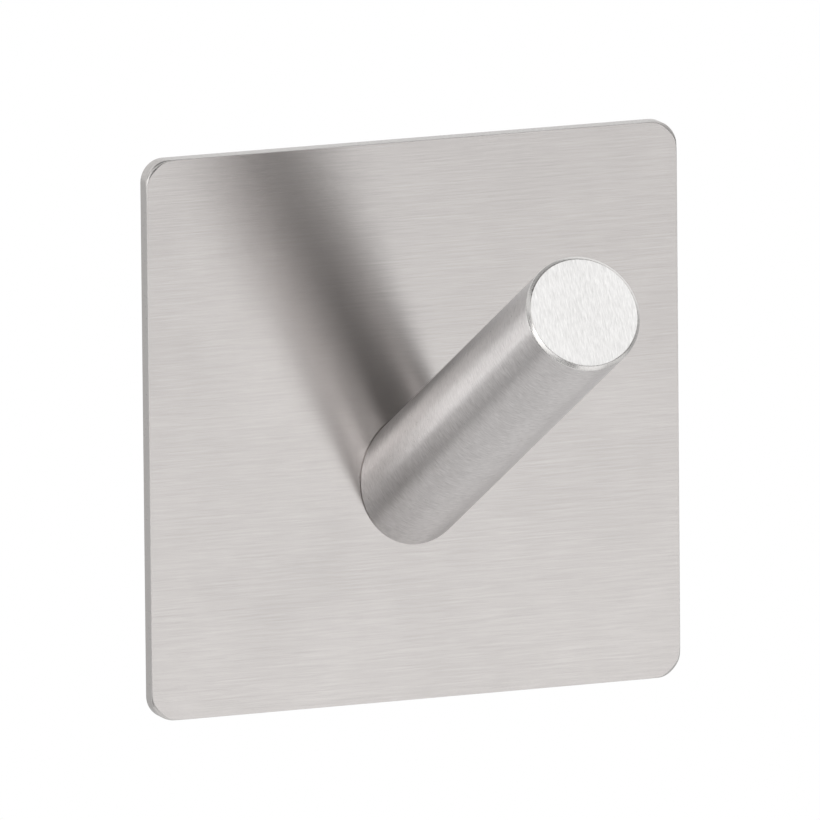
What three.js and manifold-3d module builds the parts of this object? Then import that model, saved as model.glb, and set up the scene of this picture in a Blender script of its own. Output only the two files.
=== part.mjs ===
// Wall hook: a slanted round peg on a square stainless plate, bonded to the wall by a foam pad.
// Millimetres, +Z up. The wall is the plane y = 0 and the hook stands out from it towards -Y.
// The origin is the middle of the pad's wall face.

import * as THREE from 'three';
import { mergeVertices } from 'three/addons/utils/BufferGeometryUtils.js';
import Module from 'manifold-3d';

const wasm = await Module();
wasm.setup();

// Square plate of stainless sheet
const PLATE_SIDE = 48;
const PLATE_THICKNESS = 1.5;
const PLATE_CORNER_RADIUS = 2;
const PLATE_EDGE_RADIUS = 0.3;

// Round peg, its length measured on its axis from the plate's front to its end face
const PEG_DIAMETER = 10;
const PEG_LENGTH = 44;
const PEG_END_CHAMFER = 0.3;
// Upward lean of the peg from the plate's normal, in degrees
const PEG_TILT = 28.5;
// How far the middle of the peg's foot lies below the middle of the plate
const PEG_DROP = 5;

// Countersunk M3 socket screw, from the plate's back into the foot of the peg
const SCREW_DIAMETER = 3;
const SCREW_LENGTH = 6;
const SCREW_HEAD_DIAMETER = 5.6;
const SCREW_HEAD_HEIGHT = 1.65;
const SCREW_TIP_CHAMFER = 0.3;
const SCREW_SOCKET_WIDTH = 2;
const SCREW_SOCKET_DEPTH = 1.1;
// Depth of the head's top below the plate's back
const SCREW_SINK = 0.1;
const SCREW_CLEARANCE = 0.1;
// Room left in the peg beyond the screw's tip
const SCREW_RUNOUT = 0.5;

// Straight pin through the plate into the peg, above the screw, which keeps the peg from turning
const PIN_DIAMETER = 1.5;
const PIN_LENGTH = 5;
const PIN_CHAMFER = 0.2;
const PIN_SINK = 0.1;
const PIN_CLEARANCE = 0.1;
const PIN_RUNOUT = 0.4;
// Plate left between the screw's countersink and the pin's hole
const PIN_WEB = 0.4;

// Double-sided foam pad behind the plate, with a hole over the screw's head
const PAD_THICKNESS = 1.1;
const PAD_INSET = 2;
const PAD_CORNER_RADIUS = 1.5;
const PAD_HOLE_MARGIN = 0.8;

// Facets of the round shapes
const PEG_SEGMENTS = 96;
const FASTENER_SEGMENTS = 48;
const CORNER_SEGMENTS = 10;
const EDGE_SEGMENTS = 4;

// Places that follow from the dimensions
const plateBack = -PAD_THICKNESS;
const plateFront = plateBack - PLATE_THICKNESS;
const screwHeight = -PEG_DROP;
const pinPitch =
  SCREW_HEAD_DIAMETER / 2 + SCREW_CLEARANCE + PIN_WEB + PIN_CLEARANCE + PIN_DIAMETER / 2;
const pinHeight = screwHeight + pinPitch;

// Stainless steel and foam, as the photograph shows or suggests them
const brushedSteel = new THREE.MeshStandardMaterial({ color: 0xcdcbc8, metalness: 1, roughness: 0.32 });
const turnedSteel = new THREE.MeshStandardMaterial({ color: 0xc4c2c0, metalness: 1, roughness: 0.26 });
const screwSteel = new THREE.MeshStandardMaterial({ color: 0xb4b3b1, metalness: 1, roughness: 0.4 });
const pinSteel = new THREE.MeshStandardMaterial({ color: 0xa9a8a6, metalness: 1, roughness: 0.3 });
const greyFoam = new THREE.MeshStandardMaterial({ color: 0x75787b, metalness: 0, roughness: 0.75 });

// Closed geometry to solid, and back, for joins and cuts
function toSolid(geometry) {
  const bare = geometry.clone();
  bare.deleteAttribute('normal');
  bare.deleteAttribute('uv');
  const merged = mergeVertices(bare);
  const vertProperties = new Float32Array(merged.attributes.position.array);
  const triVerts = new Uint32Array(merged.index.array);
  return new wasm.Manifold(new wasm.Mesh({ numProp: 3, vertProperties, triVerts }));
}

function toGeometry(solid) {
  const { vertProperties, triVerts } = solid.getMesh();
  const geometry = new THREE.BufferGeometry();
  geometry.setAttribute('position', new THREE.BufferAttribute(vertProperties, 3));
  geometry.setIndex(new THREE.BufferAttribute(triVerts, 1));
  geometry.computeVertexNormals();
  return geometry;
}

function cut(geometry, ...cutters) {
  const whole = toSolid(geometry);
  return toGeometry(cutters.reduce((solid, cutter) => solid.subtract(toSolid(cutter)), whole));
}

// Half section given as [radius, height] pairs, turned about Y
function turned(section, segments) {
  const points = section.map(([radius, height]) => new THREE.Vector2(radius, height));
  return new THREE.LatheGeometry(points, segments);
}

// Square outline with round corners, about the origin of its plane
function roundedSquare(side, radius) {
  const reach = side / 2 - radius;
  const quarter = Math.PI / 2;
  const shape = new THREE.Shape();
  shape.absarc(reach, reach, radius, 0, quarter);
  shape.absarc(-reach, reach, radius, quarter, 2 * quarter);
  shape.absarc(-reach, -reach, radius, 2 * quarter, 3 * quarter);
  shape.absarc(reach, -reach, radius, 3 * quarter, 4 * quarter);
  shape.closePath();
  return shape;
}

// Extruded sheet laid upright, with its back on the plane y = 0 and its front towards -Y
function uprightSheet(shape, thickness, edgeRadius) {
  const sheet = new THREE.ExtrudeGeometry(shape, {
    depth: thickness - 2 * edgeRadius,
    curveSegments: CORNER_SEGMENTS,
    bevelEnabled: edgeRadius > 0,
    bevelThickness: edgeRadius,
    bevelSize: edgeRadius,
    bevelOffset: -edgeRadius,
    bevelSegments: EDGE_SEGMENTS,
  });
  return sheet.translate(0, 0, edgeRadius).rotateX(Math.PI / 2);
}

// Screw, its head's top on the plane y = 0 and its tip towards -Y
function screwGeometry() {
  const shank = SCREW_DIAMETER / 2;
  const head = SCREW_HEAD_DIAMETER / 2;
  const body = turned([
    [0, -SCREW_LENGTH],
    [shank - SCREW_TIP_CHAMFER, -SCREW_LENGTH],
    [shank, SCREW_TIP_CHAMFER - SCREW_LENGTH],
    [shank, -SCREW_HEAD_HEIGHT],
    [head, head - shank - SCREW_HEAD_HEIGHT],
    [head, 0],
    [0, 0],
  ], FASTENER_SEGMENTS);
  const socketRadius = SCREW_SOCKET_WIDTH / Math.sqrt(3);
  const socket = new THREE.CylinderGeometry(socketRadius, socketRadius, 2 * SCREW_SOCKET_DEPTH, 6);
  return cut(body, socket);
}

// Countersunk hole for the screw, drilled from the plane y = 0 and open past it
function screwHole() {
  const shank = SCREW_DIAMETER / 2 + SCREW_CLEARANCE;
  const head = SCREW_HEAD_DIAMETER / 2 + SCREW_CLEARANCE;
  const seat = SCREW_SINK + SCREW_HEAD_HEIGHT;
  const floor = -SCREW_SINK - SCREW_LENGTH - SCREW_RUNOUT;
  return turned([
    [0, floor],
    [shank, floor],
    [shank, -seat],
    [head, head - shank - seat],
    [head, SCREW_HEAD_HEIGHT],
    [0, SCREW_HEAD_HEIGHT],
  ], FASTENER_SEGMENTS);
}

// Pin, its back end on the plane y = 0 and its tip towards -Y
function pinGeometry() {
  const radius = PIN_DIAMETER / 2;
  return turned([
    [0, -PIN_LENGTH],
    [radius - PIN_CHAMFER, -PIN_LENGTH],
    [radius, PIN_CHAMFER - PIN_LENGTH],
    [radius, -PIN_CHAMFER],
    [radius - PIN_CHAMFER, 0],
    [0, 0],
  ], FASTENER_SEGMENTS);
}

// Hole for the pin, drilled from the plane y = 0 and open past it
function pinHole() {
  const radius = PIN_DIAMETER / 2 + PIN_CLEARANCE;
  const floor = -PIN_SINK - PIN_LENGTH - PIN_RUNOUT;
  return turned([
    [0, floor],
    [radius, floor],
    [radius, PIN_DIAMETER],
    [0, PIN_DIAMETER],
  ], FASTENER_SEGMENTS);
}

// Plate, its back on the plane y = 0
function plateGeometry() {
  const outline = roundedSquare(PLATE_SIDE, PLATE_CORNER_RADIUS);
  const blank = uprightSheet(outline, PLATE_THICKNESS, PLATE_EDGE_RADIUS);
  return cut(blank, screwHole().translate(0, 0, screwHeight), pinHole().translate(0, 0, pinHeight));
}

// Peg, the middle of its foot at the origin and the plate's front on the plane y = 0
function pegGeometry() {
  const radius = PEG_DIAMETER / 2;
  const tilt = THREE.MathUtils.degToRad(PEG_TILT);
  const overrun = radius * Math.tan(tilt) + radius;
  const bar = turned([
    [0, -overrun],
    [radius, -overrun],
    [radius, PEG_LENGTH - PEG_END_CHAMFER],
    [radius - PEG_END_CHAMFER, PEG_LENGTH],
    [0, PEG_LENGTH],
  ], PEG_SEGMENTS);
  bar.rotateX(Math.PI - tilt);
  const waste = 4 * overrun;
  const mitre = new THREE.BoxGeometry(waste, waste, waste).translate(0, waste / 2, 0);
  const screw = screwHole().translate(0, PLATE_THICKNESS, 0);
  const pin = pinHole().translate(0, PLATE_THICKNESS, pinPitch);
  return cut(bar, mitre, screw, pin);
}

// Pad, its wall face on the plane y = 0
function padGeometry() {
  const outline = roundedSquare(PLATE_SIDE - 2 * PAD_INSET, PAD_CORNER_RADIUS);
  const hole = new THREE.Path();
  hole.absarc(0, screwHeight, SCREW_HEAD_DIAMETER / 2 + PAD_HOLE_MARGIN, 0, 2 * Math.PI);
  outline.holes.push(hole);
  return uprightSheet(outline, PAD_THICKNESS, 0);
}

const wallHook = new THREE.Group();
wallHook.name = 'wall_hook';

function add(name, geometry, material, x, y, z) {
  const mesh = new THREE.Mesh(geometry, material);
  mesh.name = name;
  mesh.position.set(x, y, z);
  wallHook.add(mesh);
}

add('back_plate', plateGeometry(), brushedSteel, 0, plateBack, 0);
add('hook_peg', pegGeometry(), turnedSteel, 0, plateFront, -PEG_DROP);
add('peg_screw', screwGeometry(), screwSteel, 0, plateBack - SCREW_SINK, screwHeight);
add('locating_pin', pinGeometry(), pinSteel, 0, plateBack - PIN_SINK, pinHeight);
add('adhesive_pad', padGeometry(), greyFoam, 0, 0, 0);

export default wallHook;
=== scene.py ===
# %% [markdown]
# # A wall hook in brushed stainless steel
# The real hook is a square of steel sheet with a round peg that slants upward, held to the wall by a
# foam pad. A screw and a small pin come through the sheet from behind and hold the peg. The CAD model
# fixes every size and place, and this file gives it its looks: fine meshes and real finishes.
#
# All lengths are in metres, in the CAD model's frame. The wall is the plane y = 0, and the hook points
# away from it, to -Y.

# %% Load the CAD frame
import math

import bmesh
import bpy
from mathutils import Matrix, Vector


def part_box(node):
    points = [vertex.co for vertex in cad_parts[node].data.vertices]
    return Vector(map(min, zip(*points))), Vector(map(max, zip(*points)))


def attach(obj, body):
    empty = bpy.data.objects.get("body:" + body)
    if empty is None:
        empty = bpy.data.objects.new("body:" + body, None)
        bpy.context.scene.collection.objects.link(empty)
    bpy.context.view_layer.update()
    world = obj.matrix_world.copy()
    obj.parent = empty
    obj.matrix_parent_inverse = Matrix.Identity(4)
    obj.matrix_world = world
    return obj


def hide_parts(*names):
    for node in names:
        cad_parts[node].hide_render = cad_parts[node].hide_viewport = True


MM = 0.001

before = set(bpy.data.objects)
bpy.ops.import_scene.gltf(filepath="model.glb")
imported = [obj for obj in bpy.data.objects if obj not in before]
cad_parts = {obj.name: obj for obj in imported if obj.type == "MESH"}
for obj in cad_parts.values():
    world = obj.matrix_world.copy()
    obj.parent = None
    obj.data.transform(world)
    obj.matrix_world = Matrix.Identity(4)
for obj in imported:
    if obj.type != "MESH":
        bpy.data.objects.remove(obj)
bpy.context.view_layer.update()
print("CAD nodes:", ", ".join(sorted(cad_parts)))

# %% [markdown]
# ## Sizes from the frame
# A visible piece could be drawn from sizes typed in again, but then it would drift when the CAD model
# changes. Here the main sizes are measured on the CAD nodes' boxes. What a box can't tell is written as
# a value, like the peg's lean and the small chamfer on its end.

# %% Measure the plate and the peg
PEG_TILT = math.radians(28.5)
PEG_END_CHAMFER = 0.3 * MM

plate_low, plate_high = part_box("back_plate")
plate_half = plate_high.x
plate_front = plate_low.y
plate_back = plate_high.y

peg_low, peg_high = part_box("hook_peg")
peg_radius = peg_high.x
foot_height = peg_low.z + peg_radius / math.cos(PEG_TILT)
peg_reach = plate_front - peg_low.y - (peg_radius - PEG_END_CHAMFER) * math.sin(PEG_TILT)
peg_length = peg_reach / math.cos(PEG_TILT)
print(f"plate {2 * plate_half / MM:.1f} mm square, {(plate_back - plate_front) / MM:.1f} mm thick")
print(f"peg {2 * peg_radius / MM:.1f} mm across and {peg_length / MM:.1f} mm long")

# %% [markdown]
# ## Camera
# The photograph looks at the hook from its left and a little above. Its edges stay almost parallel, so
# the camera stood far off behind a long lens. A Track To constraint could aim it, but the picture also
# leans by half a degree, so the camera's three axes are worked out from its angles instead.

# %% Place the camera
VIEW_AZIMUTH = math.radians(21.37)
VIEW_ELEVATION = math.radians(10.97)
VIEW_ROLL = math.radians(-0.525)
VIEW_DISTANCE = 2.172
LENS = 1129.7
SENSOR = 36.0
CLIP_END = 10
IMAGE_SIDE = 820
PLATE_MIDDLE_PIXEL = (415.05, 420.67)

ahead = Vector((
    math.sin(VIEW_AZIMUTH) * math.cos(VIEW_ELEVATION),
    math.cos(VIEW_AZIMUTH) * math.cos(VIEW_ELEVATION),
    -math.sin(VIEW_ELEVATION),
))
level_right = Vector((math.cos(VIEW_AZIMUTH), -math.sin(VIEW_AZIMUTH), 0))
level_up = level_right.cross(ahead)
right = math.cos(VIEW_ROLL) * level_right + math.sin(VIEW_ROLL) * level_up
up = math.cos(VIEW_ROLL) * level_up - math.sin(VIEW_ROLL) * level_right

pixel = SENSOR / LENS * VIEW_DISTANCE / IMAGE_SIDE
plate_middle = Vector((0, plate_front, 0))
aim = plate_middle
aim = aim + (IMAGE_SIDE / 2 - PLATE_MIDDLE_PIXEL[0]) * pixel * right
aim = aim + (PLATE_MIDDLE_PIXEL[1] - IMAGE_SIDE / 2) * pixel * up

camera_data = bpy.data.cameras.new("camera")
camera_data.lens = LENS
camera_data.sensor_width = SENSOR
camera_data.clip_end = CLIP_END
camera = bpy.data.objects.new("camera", camera_data)
camera_axes = Matrix((right, up, -ahead)).transposed().to_4x4()
camera.matrix_world = Matrix.Translation(aim - VIEW_DISTANCE * ahead) @ camera_axes
bpy.context.scene.collection.objects.link(camera)
bpy.context.scene.camera = camera
bpy.context.scene.view_settings.view_transform = "Standard"
print(f"one pixel of the picture covers {pixel / MM:.4f} mm of the plate")

# %% [markdown]
# ## Helpers for materials
# A shader is a small network of nodes. One function adds a node, sets its options and fills its sockets,
# with a number, a colour or another node's output. Colours are written as the sRGB hex values that a
# colour picker shows, and Blender works in linear light, so a second function turns one into the other.
# A third starts an empty material.

# %% Node and colour helpers
def add_node(tree, kind, sockets=None, **settings):
    node = tree.nodes.new(kind)
    for name, value in settings.items():
        setattr(node, name, value)
    for name, value in (sockets or {}).items():
        if isinstance(value, bpy.types.NodeSocket):
            tree.links.new(value, node.inputs[name])
        else:
            node.inputs[name].default_value = value
    return node


def linear(hex_colour):
    channels = [int(hex_colour[start:start + 2], 16) / 255 for start in (1, 3, 5)]
    return [c / 12.92 if c <= 0.04045 else ((c + 0.055) / 1.055) ** 2.4 for c in channels] + [1.0]


def new_material(name):
    material = bpy.data.materials.new(name)
    material.use_nodes = True
    material.node_tree.nodes.clear()
    return material, material.node_tree


print("mid grey #808080 in linear light:", round(linear("#808080")[0], 3))

# %% [markdown]
# ## Studio
# Bare metal has hardly any colour of its own: it shows the room. The room here is a white tent, which
# the camera and reflections see as plain white, while matt surfaces get a softer level of it. The Light
# Path node tells the two kinds of ray apart.

# %% White tent
TENT_WHITE = "#ffffff"
TENT_FILL = 0.75


def seen_directly(tree):
    """1 for a ray from the camera, a mirror or glass, and 0 for one that only lights a matt surface."""
    path = add_node(tree, "ShaderNodeLightPath")
    camera_or_glossy = add_node(tree, "ShaderNodeMath", {
        0: path.outputs["Is Camera Ray"],
        1: path.outputs["Is Glossy Ray"],
    }, operation="MAXIMUM")
    seen = add_node(tree, "ShaderNodeMath", {
        0: camera_or_glossy.outputs[0],
        1: path.outputs["Is Transmission Ray"],
    }, operation="MAXIMUM")
    return seen.outputs[0]


world = bpy.data.worlds.new("white_tent")
bpy.context.scene.world = world
world.use_nodes = True
tent = world.node_tree
tent.nodes.clear()
fill = add_node(tent, "ShaderNodeBackground", {"Color": linear(TENT_WHITE), "Strength": TENT_FILL})
white = add_node(tent, "ShaderNodeBackground", {"Color": linear(TENT_WHITE), "Strength": 1.0})
mixed = add_node(tent, "ShaderNodeMixShader", {
    0: seen_directly(tent),
    1: fill.outputs[0],
    2: white.outputs[0],
})
add_node(tent, "ShaderNodeOutputWorld", {"Surface": mixed.outputs[0]})
print("tent: white in reflections, fill level", TENT_FILL)

# %% [markdown]
# ## Panels round the hook
# Product photographers shape metal with soft boxes, which show in it as bright bands, and with dark
# cards, which show as the dark ones. Each panel is given by where it stands round the hook, in degrees:
# azimuth 0 is straight in front and grows to the right, and elevation is above the horizon. Its level is
# how bright it looks in a mirror, where 1 is the tent's white. Area lamps could stand there, but a panel
# can also be darker than the tent. Grey walls at the sides and behind keep the hook's edges from fading
# into the white tent, from wherever the hook is seen. The panels show only in reflections, so they don't
# light the matt foam or the floor.

# %% Soft boxes and dark cards
PANEL_RADIUS = 0.6
PANEL_STEP = 6

# name: azimuth from and to, elevation from and to, level
PANELS = {
    "dark_ceiling": (-100, 100, 52, 89, 0.02),
    "dim_ceiling_behind": (100, 260, 52, 89, 0.5),
    "dark_room_in_front": (-33, 34, 7, 30, 0.05),
    "grey_room_in_front": (34, 74, 7, 30, 0.6),
    "dim_horizon_in_front": (-15, 45, -3, 7, 0.55),
    "dark_room_on_the_right": (45, 78, -14, 7, 0.02),
    "grey_wall_on_the_right": (78, 112, -30, 50, 0.6),
    "grey_table_on_the_right": (42, 100, -60, -31, 0.6),
    "light_wall_behind": (112, 226, 0, 50, 1.15),
    "grey_wall_behind": (112, 226, -70, 0, 0.75),
    "high_soft_box": (-2, 58, 30, 50, 1.7),
    "left_soft_box": (-134, -104, -17, 9, 2.35),
    "grey_wall_over_the_box": (-134, -104, 9, 30, 0.45),
    "grey_wall_on_the_left": (-104, -62, -14, 30, 0.5),
    "white_wall_on_the_left": (-62, -42, -12, 6, 1.7),
    "window_on_the_left": (-62, -33, 6, 16, 5.0),
    "wall_over_the_window": (-62, -33, 16, 30, 1.5),
    "white_board_in_front": (-42, -15, -19, 6, 1.6),
    "dark_card_low_on_the_left": (-112, -56, -42, -15, 0.02),
    "grey_table_on_the_left": (-56, -15, -42, -19, 0.6),
    "grey_table_in_front": (-15, -1, -42, -4, 0.4),
    "lit_table_in_front": (0, 42, -42, -6, 1.31),
}


def around(azimuth, elevation):
    """The direction at that azimuth and elevation, given in degrees."""
    turn = math.radians(azimuth)
    rise = math.radians(elevation)
    return Vector((math.sin(turn) * math.cos(rise), -math.cos(turn) * math.cos(rise), math.sin(rise)))


def panel(name, azimuth_from, azimuth_to, elevation_from, elevation_to, level):
    """A curved panel that only reflections see."""
    columns = math.ceil((azimuth_to - azimuth_from) / PANEL_STEP)
    rows = math.ceil((elevation_to - elevation_from) / PANEL_STEP)
    points = []
    for row in range(rows + 1):
        elevation = elevation_from + (elevation_to - elevation_from) * row / rows
        for column in range(columns + 1):
            azimuth = azimuth_from + (azimuth_to - azimuth_from) * column / columns
            points.append(plate_middle + PANEL_RADIUS * around(azimuth, elevation))
    faces = []
    for row in range(rows):
        for column in range(columns):
            corner = row * (columns + 1) + column
            faces.append((corner, corner + 1, corner + columns + 2, corner + columns + 1))
    material, tree = new_material(name + "_cloth")
    glow = add_node(tree, "ShaderNodeEmission", {"Color": linear(TENT_WHITE), "Strength": level})
    add_node(tree, "ShaderNodeOutputMaterial", {"Surface": glow.outputs[0]})
    mesh = bpy.data.meshes.new(name)
    mesh.from_pydata(points, [], faces)
    mesh.materials.append(material)
    cloth = bpy.data.objects.new(name, mesh)
    cloth.visible_camera = False
    cloth.visible_diffuse = False
    cloth.visible_shadow = False
    bpy.context.scene.collection.objects.link(cloth)


for name, reach in PANELS.items():
    panel(name, *reach)
print(f"{len(PANELS)} panels at {PANEL_RADIUS} m")

# %% [markdown]
# ## Lamp
# One broad lamp above lights what isn't metal, and gives the floor its soft shadow. With the tent's fill
# it comes to a plain level, at which a matt colour looks about as it is written. It is kept out of
# reflections, where the panels do its work.

# %% Lamp for matt surfaces
LAMP_SIDE = 0.5
LAMP_POWER = 1.8
LAMP_AZIMUTH = -30
LAMP_ELEVATION = 60

lamp_data = bpy.data.lights.new("broad_lamp", "AREA")
lamp_data.shape = "SQUARE"
lamp_data.size = LAMP_SIDE
lamp_data.energy = LAMP_POWER
lamp = bpy.data.objects.new("broad_lamp", lamp_data)
lamp.location = plate_middle + PANEL_RADIUS * around(LAMP_AZIMUTH, LAMP_ELEVATION)
lamp.rotation_mode = "QUATERNION"
lamp.rotation_quaternion = (plate_middle - lamp.location).to_track_quat("-Z", "Y")
lamp.visible_camera = False
lamp.visible_glossy = False
bpy.context.scene.collection.objects.link(lamp)
print(f"lamp {LAMP_SIDE} m square, {LAMP_POWER} W")

# %% [markdown]
# ## Floor
# A pale table lies below the hook and takes its soft shadow. Its edge would show as a line, so towards
# the rim its paint turns into the same plain white as the tent, with the same test of the rays. It is
# kept out of reflections, where it would hide the panels that stand low.

# %% Pale floor
FLOOR_DROP = 0.12
FLOOR_RADIUS = 0.3
FLOOR_FADE = 0.12
FLOOR_SIDES = 96
FLOOR_COLOUR = "#f4f3f1"

floor_paint, floor_tree = new_material("pale_floor_paint")
matt = add_node(floor_tree, "ShaderNodeBsdfDiffuse", {"Color": linear(FLOOR_COLOUR)})
glow = add_node(floor_tree, "ShaderNodeEmission", {"Color": linear(TENT_WHITE), "Strength": 1.0})
place = add_node(floor_tree, "ShaderNodeTexCoord")
away = add_node(floor_tree, "ShaderNodeVectorMath", {0: place.outputs["Object"]}, operation="LENGTH")
rim = add_node(floor_tree, "ShaderNodeMapRange", {
    "Value": away.outputs["Value"],
    "From Min": FLOOR_FADE,
    "From Max": FLOOR_RADIUS,
}, interpolation_type="SMOOTHSTEP")
fade = add_node(floor_tree, "ShaderNodeMath", {
    0: rim.outputs["Result"],
    1: seen_directly(floor_tree),
}, operation="MULTIPLY")
painted = add_node(floor_tree, "ShaderNodeMixShader", {
    0: fade.outputs[0],
    1: matt.outputs[0],
    2: glow.outputs[0],
})
add_node(floor_tree, "ShaderNodeOutputMaterial", {"Surface": painted.outputs[0]})

floor_mesh = bpy.data.meshes.new("floor")
floor_rim = []
for index in range(FLOOR_SIDES):
    turn = 2 * math.pi * index / FLOOR_SIDES
    floor_rim.append((FLOOR_RADIUS * math.cos(turn), FLOOR_RADIUS * math.sin(turn), 0))
floor_mesh.from_pydata(floor_rim, [], [range(FLOOR_SIDES)])
floor_mesh.materials.append(floor_paint)
floor = bpy.data.objects.new("floor", floor_mesh)
floor.location = (0, 0, -FLOOR_DROP)
floor.visible_glossy = False
bpy.context.scene.collection.objects.link(floor)
print(f"floor {FLOOR_DROP / MM:.0f} mm below the middle of the plate")

# %% [markdown]
# ## Brushed stainless steel
# The sheet and the bar are 304 stainless steel, brushed with an abrasive belt. The belt leaves fine
# scratches that all run one way, and they spread a reflection across the scratches far more than along
# them. The shader does this with its Anisotropic setting and a tangent that points across the scratches.
# Real scratches are about 0.03 mm wide, finer than a pixel here, so they are drawn about three times as
# coarse. A photograph of brushed metal could be laid on, but it would repeat and blur. Instead a noise
# texture stretched along the scratches gives each line its own tone, roughness and very shallow groove,
# and a broad one adds the faint smudges that hands leave.

# %% Brushed steel
LINE_WIDTH = 0.10 * MM
SHEET_LINE = 4.5 * MM
BAR_LINE = 0.7 * MM
END_LINE = 0.7 * MM
BAR_LINE_WIDTH = 1.25 * LINE_WIDTH
END_LINE_WIDTH = 0.7 * LINE_WIDTH
SHEET_GROOVE = 0.005 * MM
BAR_GROOVE = 0.007 * MM
END_GROOVE = 0.006 * MM
SMUDGE_SIZE = 6.0 * MM
ACROSS_LINES = "across_lines"
# Most values of the noise lie between these two
NOISE_LOW = 0.25
NOISE_HIGH = 0.75


def brushed_steel(name, hex_colours, roughness, anisotropy, line_size, groove, wander, smudge, lean=0.0):
    """Steel with fine lines.
    line_size is how far a line reaches along x, y and z, once turned by lean about X.
    wander is how many degrees a scratch may stray from its neighbours.
    smudge is the share that the smudges have in the tone."""
    material, tree = new_material(name)
    place = add_node(tree, "ShaderNodeTexCoord")
    stretched = add_node(tree, "ShaderNodeMapping", {
        "Vector": place.outputs["Object"],
        "Rotation": (lean, 0, 0),
        "Scale": line_size,
    }, vector_type="TEXTURE")
    lines = add_node(tree, "ShaderNodeTexNoise", {
        "Vector": stretched.outputs["Vector"],
        "Scale": 1.0,
        "Detail": 4.0,
        "Roughness": 0.7,
    })
    draws = add_node(tree, "ShaderNodeSeparateColor", {"Color": lines.outputs["Color"]})
    smudges = add_node(tree, "ShaderNodeTexNoise", {
        "Vector": place.outputs["Object"],
        "Scale": 1 / SMUDGE_SIZE,
        "Detail": 3.0,
    })
    depth = add_node(tree, "ShaderNodeMix", {
        "Factor": smudge,
        "A": draws.outputs["Red"],
        "B": smudges.outputs["Fac"],
    }, data_type="FLOAT")
    tone = add_node(tree, "ShaderNodeMix", {
        "Factor": depth.outputs[0],
        "A": linear(hex_colours[0]),
        "B": linear(hex_colours[1]),
    }, data_type="RGBA")
    spread = add_node(tree, "ShaderNodeMapRange", {
        "Value": draws.outputs["Green"],
        "From Min": NOISE_LOW,
        "From Max": NOISE_HIGH,
        "To Min": roughness[0],
        "To Max": roughness[1],
    })
    stray = add_node(tree, "ShaderNodeMapRange", {
        "Value": draws.outputs["Blue"],
        "From Min": NOISE_LOW,
        "From Max": NOISE_HIGH,
        "To Min": -wander / 360,
        "To Max": wander / 360,
    }, clamp=False)
    grooves = add_node(tree, "ShaderNodeBump", {
        "Height": lines.outputs["Fac"],
        "Strength": 1.0,
        "Distance": groove,
    })
    tangent = add_node(tree, "ShaderNodeTangent", direction_type="UV_MAP", uv_map=ACROSS_LINES)
    steel = add_node(tree, "ShaderNodeBsdfPrincipled", {
        "Base Color": tone.outputs[2],
        "Metallic": 1.0,
        "Roughness": spread.outputs["Result"],
        "Anisotropic": anisotropy,
        "Anisotropic Rotation": stray.outputs["Result"],
        "Tangent": tangent.outputs["Tangent"],
        "Normal": grooves.outputs["Normal"],
    })
    add_node(tree, "ShaderNodeOutputMaterial", {"Surface": steel.outputs["BSDF"]})
    print("finish:", name)
    return material


peg_lean = math.pi / 2 - PEG_TILT
brushed_sheet = brushed_steel(
    "brushed_stainless_sheet",
    hex_colours=("#bcb8b6", "#d6d2d0"),
    roughness=(0.155, 0.235),
    anisotropy=1.0,
    line_size=(SHEET_LINE, SHEET_LINE, LINE_WIDTH),
    groove=SHEET_GROOVE,
    wander=1.5,
    smudge=0.45,
)
ground_bar = brushed_steel(
    "ground_stainless_bar",
    hex_colours=("#938f8e", "#f8f5f4"),
    roughness=(0.25, 0.40),
    anisotropy=1.0,
    line_size=(BAR_LINE, BAR_LINE, BAR_LINE_WIDTH),
    groove=BAR_GROOVE,
    wander=9,
    smudge=0.1,
    lean=peg_lean,
)
bar_end = brushed_steel(
    "brushed_bar_end",
    hex_colours=("#9d9c9b", "#f8f7f6"),
    roughness=(0.30, 0.38),
    anisotropy=0.8,
    line_size=(END_LINE_WIDTH, END_LINE, END_LINE),
    groove=END_GROOVE,
    wander=4,
    smudge=0.1,
    lean=peg_lean,
)

# %% [markdown]
# ## Steel that isn't brushed
# The sheet's cut edge and its tumbled roll, the chamfer on the bar and the fasteners were not brushed.
# They spread a reflection alike in every direction, so they need no tangent, and a fine noise in the
# roughness is all their grain.

# %% Edge, chamfer and fastener steel
MOTTLE_LOW = 0.3
MOTTLE_HIGH = 0.7


def plain_steel(name, hex_colour, roughness, grain):
    """Steel without lines. grain is the size of its unevenness."""
    material, tree = new_material(name)
    place = add_node(tree, "ShaderNodeTexCoord")
    mottle = add_node(tree, "ShaderNodeTexNoise", {
        "Vector": place.outputs["Object"],
        "Scale": 1 / grain,
        "Detail": 3.0,
    })
    spread = add_node(tree, "ShaderNodeMapRange", {
        "Value": mottle.outputs["Fac"],
        "From Min": MOTTLE_LOW,
        "From Max": MOTTLE_HIGH,
        "To Min": roughness[0],
        "To Max": roughness[1],
    })
    steel = add_node(tree, "ShaderNodeBsdfPrincipled", {
        "Base Color": linear(hex_colour),
        "Metallic": 1.0,
        "Roughness": spread.outputs["Result"],
    })
    add_node(tree, "ShaderNodeOutputMaterial", {"Surface": steel.outputs["BSDF"]})
    print("finish:", name)
    return material


cut_edge = plain_steel("cut_stainless_edge", "#aeaba9", (0.26, 0.40), 0.3 * MM)
worn_edge = plain_steel("worn_stainless_edge", "#c6c3c1", (0.26, 0.38), 0.2 * MM)
chamfer_steel = plain_steel("turned_stainless_chamfer", "#d0cecc", (0.16, 0.36), 0.08 * MM)
fastener_steel = plain_steel("satin_stainless_fastener", "#b6b5b3", (0.24, 0.34), 0.2 * MM)

# %% [markdown]
# ## Lofts
# Almost every piece here is a stack of rings: a rounded square that shrinks towards its edge, or circles
# along an axis. One helper joins rings with the same number of points into a skin and closes the two
# ends. Drilled holes come afterwards with a Boolean modifier, as on the real parts.

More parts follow.
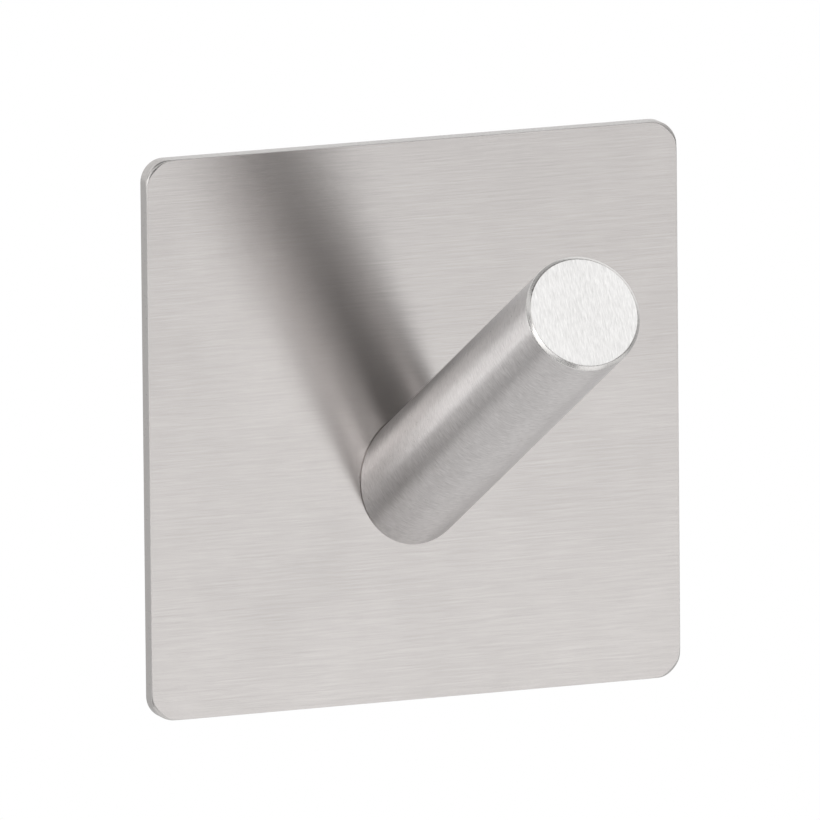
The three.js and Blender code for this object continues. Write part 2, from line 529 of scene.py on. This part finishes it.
# %% Loft and drill helpers
SHARP_ANGLE = math.radians(35)
TURNED_SIDES = 96
ARRIS_STEPS = 4
FLAT_FACE_WEIGHT = 100


def loft(name, rings, ring_slots=None, closed=False):
    """Joins rings of points into a closed mesh, with a material slot for each band of faces."""
    mesh = bmesh.new()
    loops = [[mesh.verts.new(point) for point in ring] for ring in rings]
    pairs = list(zip(loops, loops[1:]))
    if closed:
        pairs.append((loops[-1], loops[0]))
    count = len(loops[0])
    for band, (first, second) in enumerate(pairs):
        for index in range(count):
            following = (index + 1) % count
            face = mesh.faces.new((first[index], first[following], second[following], second[index]))
            face.material_index = ring_slots[band] if ring_slots else 0
    caps = []
    if not closed:
        caps = [mesh.faces.new(reversed(loops[0])), mesh.faces.new(loops[-1])]
    bmesh.ops.recalc_face_normals(mesh, faces=mesh.faces)
    mesh.faces.index_update()
    cap_numbers = [face.index for face in caps]
    data = bpy.data.meshes.new(name)
    mesh.to_mesh(data)
    mesh.free()
    piece = bpy.data.objects.new(name, data)
    bpy.context.scene.collection.objects.link(piece)
    return piece, cap_numbers


def turned_ring(radius, y, height):
    """A ring about a line along Y at that height. The radius is a number, or a function of the turn."""
    ring = []
    for index in range(TURNED_SIDES):
        turn = 2 * math.pi * index / TURNED_SIDES
        reach = radius(turn) if callable(radius) else radius
        ring.append((reach * math.cos(turn), y, height + reach * math.sin(turn)))
    return ring


def turned(name, profile, height):
    """A shape turned about a line along Y, from a list of radius and y."""
    return loft(name, [turned_ring(radius, y, height) for radius, y in profile])[0]


def softened(profile, reach):
    """Rounds the corners between the first and last points of a profile, each over that reach."""
    soft = [profile[0]]
    for before, corner, after in zip(profile, profile[1:], profile[2:]):
        corner = Vector(corner)
        start = corner + reach * (Vector(before) - corner).normalized()
        end = corner + reach * (Vector(after) - corner).normalized()
        for step in range(ARRIS_STEPS + 1):
            share = step / ARRIS_STEPS
            soft.append(tuple(start.lerp(corner, share).lerp(corner.lerp(end, share), share)))
    return soft + [profile[-1]]


def drill(piece, cutters):
    """Cuts the cutters out of the piece and takes them away."""
    for cutter in cutters:
        hole = piece.modifiers.new(cutter.name, "BOOLEAN")
        hole.operation = "DIFFERENCE"
        hole.solver = "EXACT"
        hole.object = cutter
    bpy.context.view_layer.update()
    evaluated = piece.evaluated_get(bpy.context.evaluated_depsgraph_get())
    drilled = bpy.data.meshes.new_from_object(evaluated)
    piece.modifiers.clear()
    piece.data = drilled
    for cutter in cutters:
        bpy.data.objects.remove(cutter)


def mark_lines(piece, place_on_lines):
    """A UV map whose first axis runs across the brushed lines, for the shader's tangent."""
    layer = piece.data.uv_layers.new(name=ACROSS_LINES)
    for corner in piece.data.loops:
        place = place_on_lines(piece.data.vertices[corner.vertex_index].co)
        layer.data[corner.index].uv = [length / MM for length in place]


def shade(piece):
    """Smooth shading that stays flat on flat faces and breaks at sharp edges."""
    piece.data.shade_smooth()
    piece.data.set_sharp_from_angle(angle=SHARP_ANGLE)
    flatten = piece.modifiers.new("flat_faces", "WEIGHTED_NORMAL")
    flatten.keep_sharp = True
    flatten.weight = FLAT_FACE_WEIGHT


def settle(piece, node):
    """The piece stands for its CAD node and rides with the hook's one body."""
    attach(piece, "root")
    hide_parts(node)
    print(f"{piece.name}: {len(piece.data.vertices)} points, for {node}")


print("helpers: loft, turned, softened, drill, shade, settle")

# %% [markdown]
# ## Plate
# The plate is blanked from 1.5 mm sheet and tumbled, so its edges are rolled over a little, and more at
# the corners. A cube with a Bevel modifier would give one even roll. The loft below lets the roll grow
# round each corner.

# %% Plate
PLATE_CORNER = 2.0 * MM
EDGE_ROLL = 0.04 * MM
CORNER_ROLL = 0.35 * MM
ROLL_FADE = 1.3 * MM
CORNER_STEPS = 16
SIDE_STEPS = 10
SIDE_REACH = 5.0 * MM
ROLL_STEPS = 6
CUT_SLOT = 1
WORN_SLOT = 2


def plate_outline():
    """Points of the plate's outline in x and z, the way outward, and the distance to a corner's middle."""
    reach = plate_half - PLATE_CORNER
    outline = []
    for quarter, (side_x, side_z) in enumerate(((1, 1), (-1, 1), (-1, -1), (1, -1))):
        for step in range(-SIDE_STEPS, CORNER_STEPS + SIDE_STEPS + 1):
            share = min(1, max(0, step / CORNER_STEPS))
            beyond = (step - share * CORNER_STEPS) / SIDE_STEPS * SIDE_REACH
            turn = math.pi / 2 * (quarter + share)
            outward = Vector((math.cos(turn), math.sin(turn)))
            along = Vector((-outward.y, outward.x))
            point = reach * Vector((side_x, side_z)) + PLATE_CORNER * outward + beyond * along
            distance = abs(PLATE_CORNER * math.pi / 2 * (share - 0.5) + beyond)
            outline.append((point, outward, distance))
    return outline


def plate_ring(turn, face_y, inward, corner_roll):
    """One ring of the rolled edge: turn is 0 on the cut edge and a quarter turn on the face."""
    ring = []
    for point, outward, distance in plate_outline():
        roll = EDGE_ROLL + (corner_roll - EDGE_ROLL) * math.exp(-(distance / ROLL_FADE) ** 2)
        place = point - roll * (1 - math.cos(turn)) * outward
        ring.append((place.x, face_y + inward * roll * (1 - math.sin(turn)), place.y))
    return ring


quarter_turns = [math.pi / 2 * step / ROLL_STEPS for step in range(ROLL_STEPS + 1)]
front_rings = [plate_ring(turn, plate_front, 1, CORNER_ROLL) for turn in reversed(quarter_turns)]
back_rings = [plate_ring(turn, plate_back, -1, EDGE_ROLL) for turn in quarter_turns]
edge_bands = len(front_rings) + len(back_rings) - 1
edge_slots = [WORN_SLOT] * ROLL_STEPS + [CUT_SLOT] * (edge_bands - ROLL_STEPS)
plate = loft("plate", front_rings + back_rings, edge_slots)[0]
for finish in (brushed_sheet, cut_edge, worn_edge):
    plate.data.materials.append(finish)
print(f"plate: {edge_bands} bands round the edge")

# %% [markdown]
# Two holes go through the plate: a countersunk one for the screw and a small one for the pin. The
# drills' sizes are the CAD model's, measured from the nodes' boxes, with its 0.1 mm of clearance. A ring
# of points in the face could be left open instead, but a Boolean cut gives the countersink and its sharp
# mouth in one go.

# %% Drill the plate
HOLE_CLEARANCE = 0.1 * MM
SHANK_RADIUS = 1.5 * MM
HEAD_HEIGHT = 1.65 * MM
SCREW_RUNOUT = 0.5 * MM
PIN_RUNOUT = 0.4 * MM
BREAK_OUT = 1.0 * MM

screw_low, screw_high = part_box("peg_screw")
screw_height = (screw_low.z + screw_high.z) / 2
head_radius = screw_high.x
head_top = screw_high.y
cone_start = head_top - HEAD_HEIGHT
cone_end = cone_start + head_radius - SHANK_RADIUS

pin_low, pin_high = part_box("locating_pin")
pin_height = (pin_low.z + pin_high.z) / 2
pin_radius = pin_high.x

screw_bore = [
    (SHANK_RADIUS + HOLE_CLEARANCE, screw_low.y - SCREW_RUNOUT),
    (SHANK_RADIUS + HOLE_CLEARANCE, cone_start),
    (head_radius + HOLE_CLEARANCE, cone_end),
    (head_radius + HOLE_CLEARANCE, plate_back + BREAK_OUT),
]
pin_bore = [
    (pin_radius + HOLE_CLEARANCE, pin_low.y - PIN_RUNOUT),
    (pin_radius + HOLE_CLEARANCE, plate_back + BREAK_OUT),
]
drill(plate, [turned("screw_drill", screw_bore, screw_height), turned("pin_drill", pin_bore, pin_height)])
mark_lines(plate, lambda point: (point.z, point.x))
shade(plate)
settle(plate, "back_plate")

# %% [markdown]
# ## Peg
# The peg is a length of ground bar, cut square at its tip and slanted at its foot. Rings on an upright
# bar are the easiest to write down, so its mesh is made along Z and then tilted into place. The material
# leans its lines by the same angle, so that they run round the bar. The foot's edge is broken a little,
# as on a deburred part.

# %% Peg
PEG_SIDES = 192
ARRIS_ROLL = 0.05 * MM
FOOT_CHAMFER = 0.18 * MM
SIDE_SLOT = 0
END_SLOT = 1
CHAMFER_SLOT = 2

peg_place = Matrix.Translation((0, plate_front, foot_height)) @ Matrix.Rotation(peg_lean, 4, "X")


def peg_ring(radius, height, slant=0.0):
    """A ring round the bar at that height; slant tilts it, as the foot is."""
    ring = []
    for index in range(PEG_SIDES):
        turn = 2 * math.pi * index / PEG_SIDES
        x = radius * math.cos(turn)
        y = radius * math.sin(turn)
        ring.append((x, y, height + slant * y))
    return ring


slant = math.tan(PEG_TILT)
shoulder = peg_length - PEG_END_CHAMFER
tip_profile = softened([
    (peg_radius, shoulder - PEG_END_CHAMFER),
    (peg_radius, shoulder),
    (peg_radius - PEG_END_CHAMFER, peg_length),
    (peg_radius - 2 * PEG_END_CHAMFER, peg_length),
], ARRIS_ROLL)
peg_rings = [
    peg_ring(peg_radius - FOOT_CHAMFER, 0, slant),
    peg_ring(peg_radius, FOOT_CHAMFER, slant),
]
peg_rings += [peg_ring(radius, height) for radius, height in tip_profile]
tip_bands = len(tip_profile) - 1
peg_slots = [SIDE_SLOT] * 3 + [CHAMFER_SLOT] * (tip_bands - 2) + [END_SLOT]
peg, peg_caps = loft("peg", peg_rings, peg_slots)
peg.data.polygons[peg_caps[1]].material_index = END_SLOT
for finish in (ground_bar, bar_end, chamfer_steel):
    peg.data.materials.append(finish)
peg.data.transform(peg_place)
drill(peg, [turned("screw_tap", screw_bore, screw_height), turned("pin_tap", pin_bore, pin_height)])


def place_on_bar(point):
    """Along the bar and round it for the side, or across and along the lines for the end face."""
    x, y, height = peg_place.inverted() @ point
    if height > shoulder + PEG_END_CHAMFER / 2:
        return x, y
    return height, peg_radius * math.atan2(x, y)


mark_lines(peg, place_on_bar)
shade(peg)
settle(peg, "hook_peg")

# %% [markdown]
# ## Screw
# A countersunk M3 socket screw holds the peg. Its thread is a helix: at each point the radius depends on
# how far along the pitch that point is, and a full turn shifts the pattern by one pitch. A Screw
# modifier could sweep such a thread too, but a radius formula runs straight into the tip's chamfer and
# the smooth neck under the head.

# %% Screw
THREAD_PITCH = 0.5 * MM
THREAD_DEPTH = 0.3 * MM
RINGS_PER_PITCH = 10
CREST_SHARE = 0.125
FLANK_SHARE = 0.625
NECK = 0.4 * MM
TIP_CHAMFER = 0.3 * MM
SOCKET_FLAT = 1.0 * MM
SOCKET_RIM = 1.4 * SOCKET_FLAT
SOCKET_FLOOR = 0.8 * SOCKET_FLAT
SOCKET_TIP = 0.1 * SOCKET_FLAT
SOCKET_DEPTH = 1.1 * MM
SOCKET_POINT = 0.25 * MM
SOCKET_BREAK = 0.06 * MM
HEAD_BREAK = 0.08 * MM


def thread_radius(y):
    """The screw's radius round one ring, as a function of the turn."""
    along = y - screw_low.y
    left = cone_start - y

    def radius(turn):
        phase = (along / THREAD_PITCH - turn / (2 * math.pi)) % 1
        flank = min(1, max(0, (abs(2 * phase - 1) - CREST_SHARE) / FLANK_SHARE))
        groove = THREAD_DEPTH * flank * min(1, max(0, left / NECK))
        return min(SHANK_RADIUS - groove, SHANK_RADIUS - TIP_CHAMFER + along)

    return radius


def hexagon(flat):
    """The radius of a hexagon round its middle, as a function of the turn."""
    sixth = math.pi / 3
    return lambda turn: flat / math.cos((turn + sixth / 2) % sixth - sixth / 2)


thread_rings = round((cone_start - screw_low.y) / THREAD_PITCH * RINGS_PER_PITCH)
screw_rings = []
for step in range(thread_rings + 1):
    y = screw_low.y + (cone_start - screw_low.y) * step / thread_rings
    screw_rings.append(turned_ring(thread_radius(y), y, screw_height))
head_profile = softened([
    (SHANK_RADIUS + HEAD_BREAK, cone_start + HEAD_BREAK),
    (head_radius, cone_end),
    (head_radius, head_top),
    (SOCKET_RIM, head_top),
], HEAD_BREAK)
screw_rings += [turned_ring(radius, y, screw_height) for radius, y in head_profile]
socket_floor = head_top - SOCKET_DEPTH
socket_profile = [
    (hexagon(SOCKET_FLAT + SOCKET_BREAK), head_top),
    (hexagon(SOCKET_FLAT), head_top - SOCKET_BREAK),
    (hexagon(SOCKET_FLAT), socket_floor),
    (SOCKET_FLOOR, socket_floor),
    (SOCKET_TIP, socket_floor - SOCKET_POINT),
]
screw_rings += [turned_ring(radius, y, screw_height) for radius, y in socket_profile]
screw = loft("screw", screw_rings)[0]
screw.data.materials.append(fastener_steel)
shade(screw)
settle(screw, "peg_screw")

# %% [markdown]
# ## Pin
# A straight pin beside the screw keeps the peg from turning. It is a short ground rod with broken edges.
# A Cylinder with a Bevel modifier would do, but a profile turned like the drills uses what is already
# here.

# %% Pin
PIN_CHAMFER = 0.2 * MM
PIN_ROLL = 0.06 * MM

pin_profile = softened([
    (pin_radius - 2 * PIN_CHAMFER, pin_low.y),
    (pin_radius - PIN_CHAMFER, pin_low.y),
    (pin_radius, pin_low.y + PIN_CHAMFER),
    (pin_radius, pin_high.y - PIN_CHAMFER),
    (pin_radius - PIN_CHAMFER, pin_high.y),
    (pin_radius - 2 * PIN_CHAMFER, pin_high.y),
], PIN_ROLL)
pin = turned("pin", pin_profile, pin_height)
pin.data.materials.append(fastener_steel)
shade(pin)
settle(pin, "locating_pin")

# %% [markdown]
# ## Foam pad
# The pad is a die-cut square of grey acrylic foam tape. Its core is full of tiny closed cells, which
# make the cut edge look matt and a little grainy, and a film of clear adhesive on both faces makes those
# look smoother. The cells are about 0.1 mm across. They could be modelled as real pits, but a Voronoi
# texture with a Bump node shows as much at this size and costs no faces.

# %% Acrylic foam and adhesive
CELL_SIZE = 0.12 * MM
CLOUD_SIZE = 12 * CELL_SIZE
CELL_DEPTH = 0.02 * MM
FILM_DEPTH = CELL_DEPTH / 6
ACRYLIC_IOR = 1.48
FILM_ROUGHNESS = 0.25


def acrylic_foam(name, hex_colours, roughness, cell_depth, coat):
    """Foam tape. cell_depth is how deep the cells show, and coat is how much film lies over them."""
    material, tree = new_material(name)
    place = add_node(tree, "ShaderNodeTexCoord")
    cells = add_node(tree, "ShaderNodeTexVoronoi", {
        "Vector": place.outputs["Object"],
        "Scale": 1 / CELL_SIZE,
    })
    cloud = add_node(tree, "ShaderNodeTexNoise", {
        "Vector": place.outputs["Object"],
        "Scale": 1 / CLOUD_SIZE,
        "Detail": 4.0,
    })
    tone = add_node(tree, "ShaderNodeMix", {
        "Factor": cloud.outputs["Fac"],
        "A": linear(hex_colours[0]),
        "B": linear(hex_colours[1]),
    }, data_type="RGBA")
    pits = add_node(tree, "ShaderNodeBump", {
        "Height": cells.outputs["Distance"],
        "Strength": 1.0,
        "Distance": cell_depth,
    })
    foam = add_node(tree, "ShaderNodeBsdfPrincipled", {
        "Base Color": tone.outputs[2],
        "Roughness": roughness,
        "IOR": ACRYLIC_IOR,
        "Coat Weight": coat,
        "Coat Roughness": FILM_ROUGHNESS,
        "Normal": pits.outputs["Normal"],
    })
    add_node(tree, "ShaderNodeOutputMaterial", {"Surface": foam.outputs["BSDF"]})
    print("finish:", name)
    return material


foam_core = acrylic_foam("acrylic_foam_core", ("#66696c", "#7d8083"), 0.8, CELL_DEPTH, 0.0)
adhesive_face = acrylic_foam("acrylic_adhesive_face", ("#6d7073", "#7a7d80"), 0.5, FILM_DEPTH, 0.35)

# %% [markdown]
# The pad's skin runs round like a tyre: over the wall face, down the hole over the screw's head, back
# over the plate face and round the outside. So its rings close on themselves, and each has one point on
# the outline and one on the hole in the same direction from the hole's middle. A Boolean could cut the
# hole, but it would leave a sharp rim, and here all the cut sides belly a little, as pressed foam does.

# %% Pad
PAD_CORNER = 1.5 * MM
PAD_ROLL = 0.22 * MM
PAD_HOLE_RADIUS = 3.6 * MM
PAD_SIDE_STEPS = 28
PAD_CORNER_STEPS = 8
PAD_WAVE = 0.05 * MM
PAD_WAVES = 9
CORE_SLOT = 0
FILM_SLOT = 1

pad_low, pad_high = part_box("adhesive_pad")
pad_half = pad_high.x


def pad_outline():
    """Points of the pad's outline in x and z, with the way outward at each."""
    reach = pad_half - PAD_CORNER
    outline = []
    for quarter, (side_x, side_z) in enumerate(((1, 1), (-1, 1), (-1, -1), (1, -1))):
        for step in range(PAD_CORNER_STEPS + 1):
            turn = math.pi / 2 * (quarter + step / PAD_CORNER_STEPS)
            outward = Vector((math.cos(turn), math.sin(turn)))
            outline.append((Vector((side_x, side_z)) * reach + PAD_CORNER * outward, outward))
        along = Vector((-outward.y, outward.x))
        corner = outline[-1][0]
        for step in range(1, PAD_SIDE_STEPS):
            outline.append((corner + along * (2 * reach * step / PAD_SIDE_STEPS), outward))
    return outline


def pad_ring(y, inset, hole):
    """The outline drawn in by inset, or the hole widened by it, at depth y."""
    ring = []
    middle = Vector((0, screw_height))
    for point, outward in pad_outline():
        bearing = (point - middle).normalized()
        if hole:
            place = middle + (PAD_HOLE_RADIUS + inset) * bearing
        else:
            wave = PAD_WAVE * (1 + math.sin(PAD_WAVES * math.atan2(point.y, point.x))) / 2
            place = point - (inset + wave) * outward
        ring.append((place.x, y, place.y))
    return ring


belly = [(PAD_ROLL * (1 - math.cos(turn)), PAD_ROLL * (1 - math.sin(turn))) for turn in quarter_turns]
to_wall = [(pad_high.y - depth, inset) for inset, depth in belly]
to_plate = [(pad_low.y + depth, inset) for inset, depth in reversed(belly)]
pad_rings = [pad_ring(y, inset, False) for y, inset in to_plate + to_wall]
pad_rings += [pad_ring(y, inset, True) for y, inset in reversed(to_plate + to_wall)]
wall_bands = len(to_plate) + len(to_wall) - 1
side_and_face = [CORE_SLOT] * wall_bands + [FILM_SLOT]
pad = loft("foam_pad", pad_rings, side_and_face * 2, closed=True)[0]
pad.data.materials.append(foam_core)
pad.data.materials.append(adhesive_face)
shade(pad)
settle(pad, "adhesive_pad")
